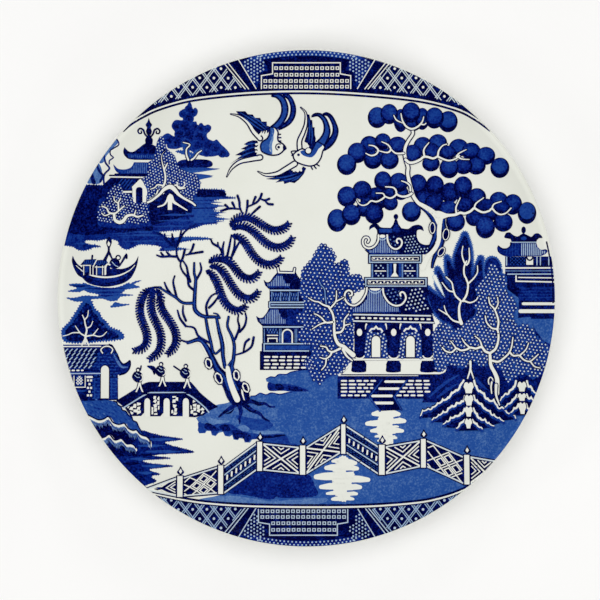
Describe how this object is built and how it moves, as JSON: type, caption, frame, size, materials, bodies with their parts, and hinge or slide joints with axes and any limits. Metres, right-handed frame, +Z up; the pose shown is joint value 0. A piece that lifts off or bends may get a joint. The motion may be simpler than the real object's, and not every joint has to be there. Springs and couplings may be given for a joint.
{
  "type": "dinner plate",
  "caption": "Round rimless coupe dinner plate in glazed white china with a turned foot ring and a blue and white chinoiserie scene printed over the whole face.",
  "frame": {"origin": "centre of the foot ring's resting plane, which is the table top", "axes": "+Z up along the plate's axis, +Y towards the top of the printed scene, +X towards the scene's right"},
  "size_m": [0.267, 0.267, 0.022],
  "materials": {
    "fired_clay": "unglazed fired clay, matte and slightly grainy",
    "white_glaze": "clear glossy glaze over a cool cream body",
    "cobalt_print": "cobalt blue transfer print under clear gloss, in several depths of blue"
  },
  "bodies": {
    "root": {"fired_body": "fired_clay", "front_glaze": "white_glaze", "back_glaze": "white_glaze", "foot_well_glaze": "white_glaze", "scene_print": "cobalt_print", "upper_border_print": "cobalt_print", "lower_border_print": "cobalt_print"}
  },
  "joints": []
}
